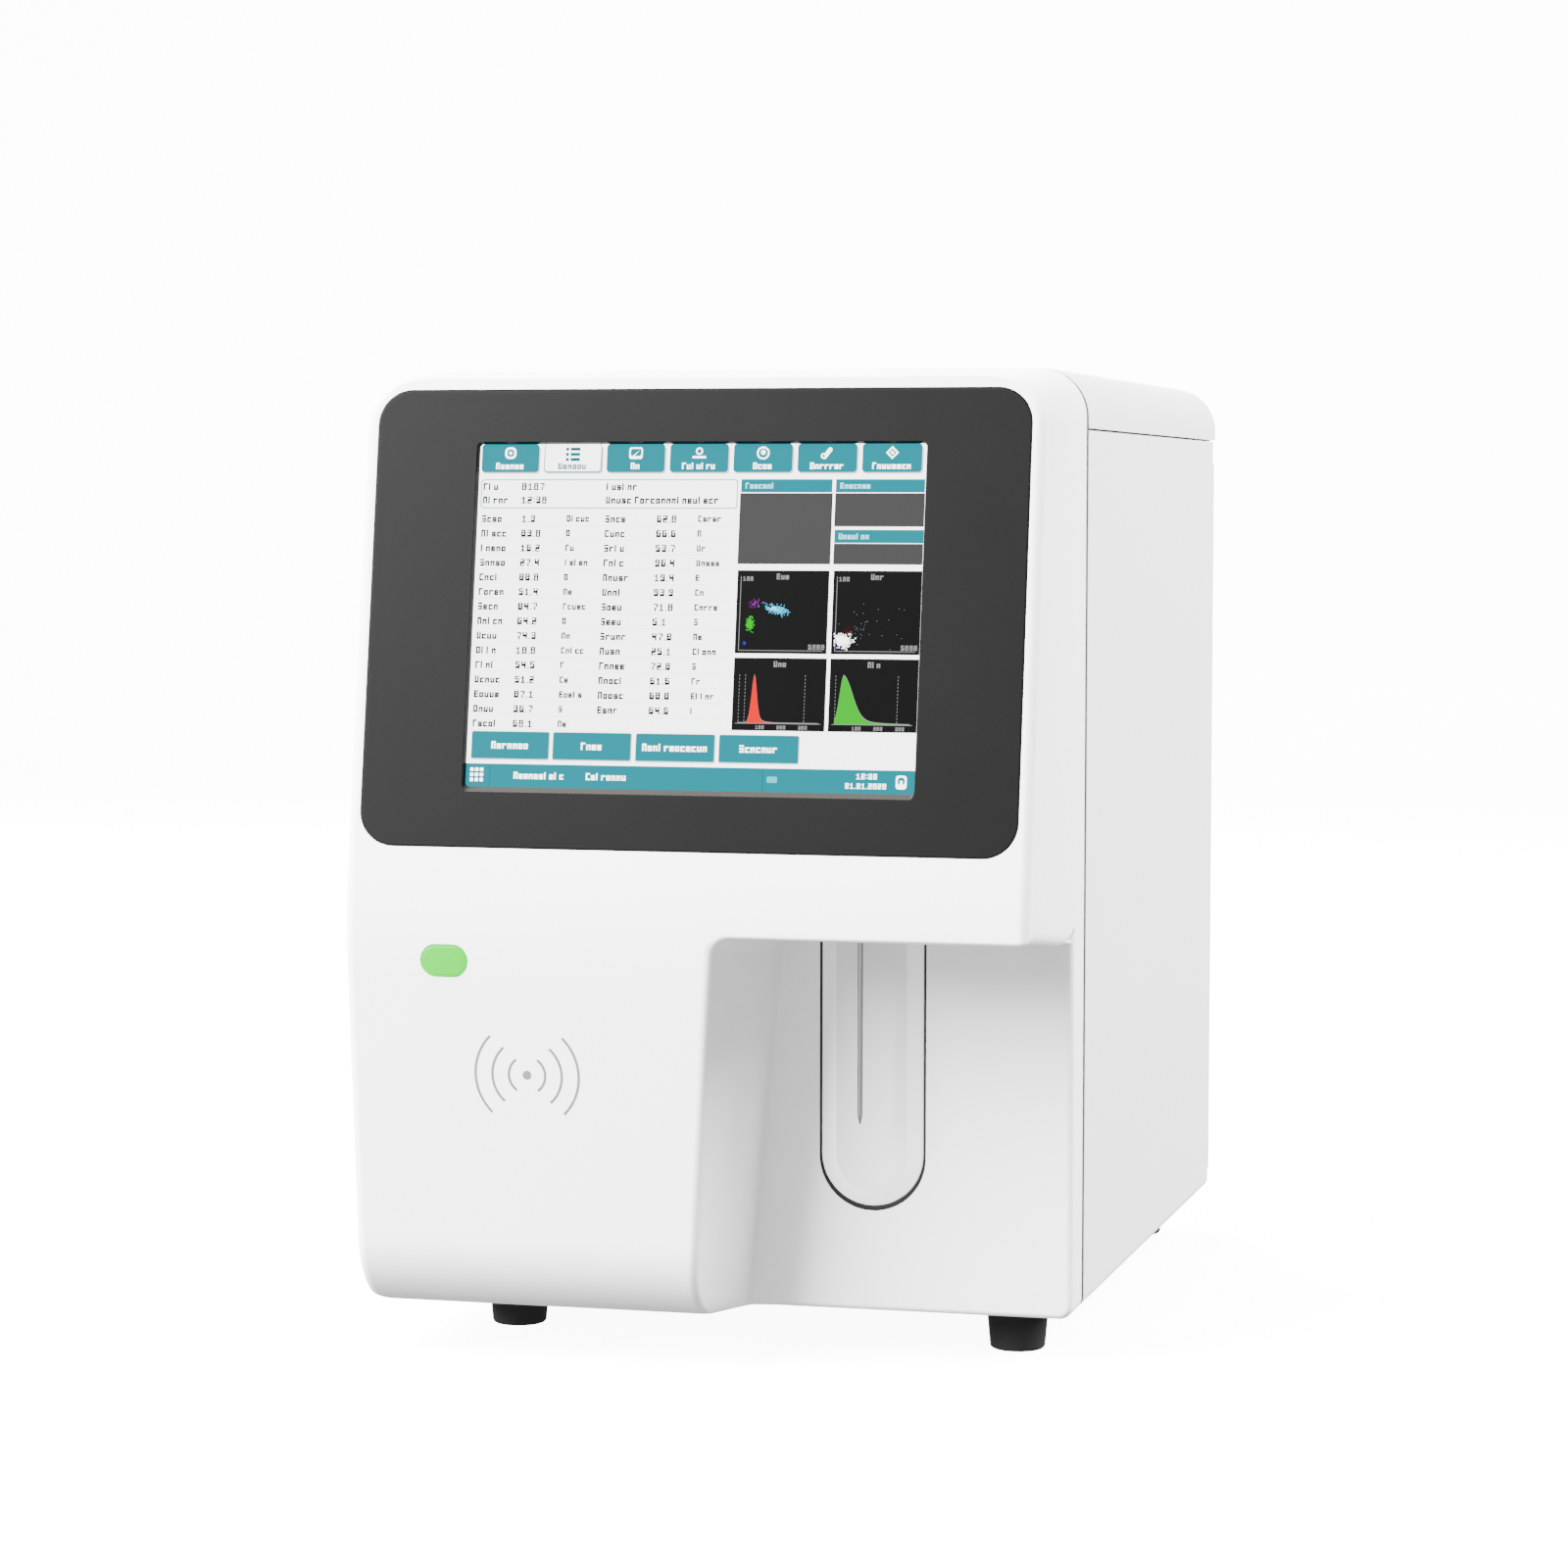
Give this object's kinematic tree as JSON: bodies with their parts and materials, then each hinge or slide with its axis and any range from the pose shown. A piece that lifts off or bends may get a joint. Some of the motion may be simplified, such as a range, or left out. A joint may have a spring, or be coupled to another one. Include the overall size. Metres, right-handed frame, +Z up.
{
  "type": "hematology analyzer",
  "caption": "Benchtop blood-cell counter with a leaning touch screen, a recess with a sample needle and a press key, a side door and rear hose ports.",
  "frame": {"origin": "on the surface the feet stand on, under the middle of the whole box", "axes": "+X right seen from the front, +Y to the back, +Z up"},
  "size_m": [0.3328, 0.4956, 0.4603],
  "materials": {
    "white_shell": "satin moulded ABS, fine texture",
    "white_key": "satin moulded ABS",
    "painted_sheet": "powder-coated steel sheet",
    "dark_bezel": "smooth dark grey front",
    "touch_screen": "lit touch screen",
    "green_lens": "frosted light window",
    "circuit_board": "solder-masked board",
    "zinc_sheet": "zinc-plated sheet",
    "bright_steel": "ground stainless steel",
    "turned_aluminium": "turned, clear anodised",
    "black_plastic": "moulded, fine texture",
    "grey_plastic": "moulded",
    "clear_acrylic": "clear machined acrylic",
    "black_rubber": "moulded rubber"
  },
  "bodies": {
    "chassis": {"front_cover": "white_shell", "screen_bezel": "dark_bezel", "touch_panel": "touch_screen", "lcd_module": "grey_plastic", "display_bracket": "zinc_sheet", "display_board": "circuit_board", "status_lens": "green_lens", "status_led_board": "circuit_board", "reader_board": "circuit_board", "key_hinge_pin": "bright_steel", "key_bracket": "zinc_sheet", "key_switch": "black_plastic", "probe_frame": "zinc_sheet", "probe_rail": "bright_steel", "wash_block": "clear_acrylic", "lift_motor": "black_plastic", "idler_pin": "bright_steel", "lift_belt": "black_rubber", "front_frame": "zinc_sheet", "base_plate": "zinc_sheet", "left_side_panel": "painted_sheet", "door_hinge_lower": "zinc_sheet", "door_hinge_upper": "zinc_sheet", "door_catch": "black_plastic", "top_cover": "painted_sheet", "rear_panel": "painted_sheet", "inner_panel": "zinc_sheet", "foot_front_left": "black_rubber", "foot_front_right": "black_rubber", "foot_rear_left": "black_rubber", "foot_rear_right": "black_rubber", "wbc_bath": "clear_acrylic", "rbc_bath": "clear_acrylic", "optical_bench": "black_plastic", "syringe_barrel": "clear_acrylic", "syringe_motor": "black_plastic", "valve_manifold": "grey_plastic", "waste_pump": "black_plastic", "main_board": "circuit_board", "power_supply": "zinc_sheet", "fan_housing": "black_plastic", "power_inlet": "black_plastic", "power_switch_housing": "black_plastic", "ground_stud": "bright_steel", "diluent_port": "grey_plastic", "lyse_port": "grey_plastic", "waste_port": "grey_plastic", "usb_socket_left": "turned_aluminium", "usb_socket_right": "turned_aluminium", "network_socket": "turned_aluminium"},
    "aspirate_key": {"aspirate_key": "white_key"},
    "probe_lift": {"probe_carriage": "black_plastic", "sample_probe": "bright_steel"},
    "drive_pulley": {"drive_pulley": "turned_aluminium"},
    "idler_pulley": {"idler_pulley": "turned_aluminium"},
    "service_door": {"service_door": "painted_sheet"},
    "syringe_plunger": {"syringe_plunger": "bright_steel"},
    "pump_rotor": {"pump_rotor": "grey_plastic"},
    "fan_rotor": {"fan_rotor": "black_plastic"},
    "power_rocker": {"power_rocker": "black_plastic"}
  },
  "joints": [
    {"name": "key_press", "type": "hinge", "parent": "chassis", "child": "aspirate_key", "pos_m": [0.07175, -0.16425, 0.1885], "axis": [1, 0, 0], "range_deg": [0, 1.5], "stiffness_Nm_per_rad": 8, "springref_deg": -1.15},
    {"name": "probe_lift", "type": "slide", "parent": "chassis", "child": "probe_lift", "axis": [0, 0, 1], "range_m": [0, 0.09]},
    {"name": "drive_pulley_turn", "type": "hinge", "parent": "chassis", "child": "drive_pulley", "pos_m": [0.098, -0.17585, 0.4065], "axis": [0, 1, 0], "range_deg": [-1, 807]},
    {"name": "idler_pulley_turn", "type": "hinge", "parent": "chassis", "child": "idler_pulley", "pos_m": [0.098, -0.17585, 0.2345], "axis": [0, 1, 0], "range_deg": [-1, 807]},
    {"name": "door_swing", "type": "hinge", "parent": "chassis", "child": "service_door", "pos_m": [0.1619, 0.22725, 0.2225], "axis": [0, 0, 1], "range_deg": [0, 100]},
    {"name": "syringe_stroke", "type": "slide", "parent": "chassis", "child": "syringe_plunger", "axis": [0, 0, 1], "range_m": [0, 0.03]},
    {"name": "pump_turn", "type": "hinge", "parent": "chassis", "child": "pump_rotor", "pos_m": [0.09, -0.04825, 0.1185], "axis": [1, 0, 0], "continuous": true},
    {"name": "fan_turn", "type": "hinge", "parent": "chassis", "child": "fan_rotor", "pos_m": [-0.084, 0.21575, 0.3425], "axis": [0, 1, 0], "continuous": true},
    {"name": "power_rock", "type": "hinge", "parent": "chassis", "child": "power_rocker", "pos_m": [-0.062, 0.23275, 0.0825], "axis": [1, 0, 0], "range_deg": [0, 14]}
  ],
  "couplings": [
    {"joint": "drive_pulley_turn", "follows": "probe_lift", "rad_per_m": 156.25},
    {"joint": "idler_pulley_turn", "follows": "probe_lift", "rad_per_m": 156.25}
  ]
}
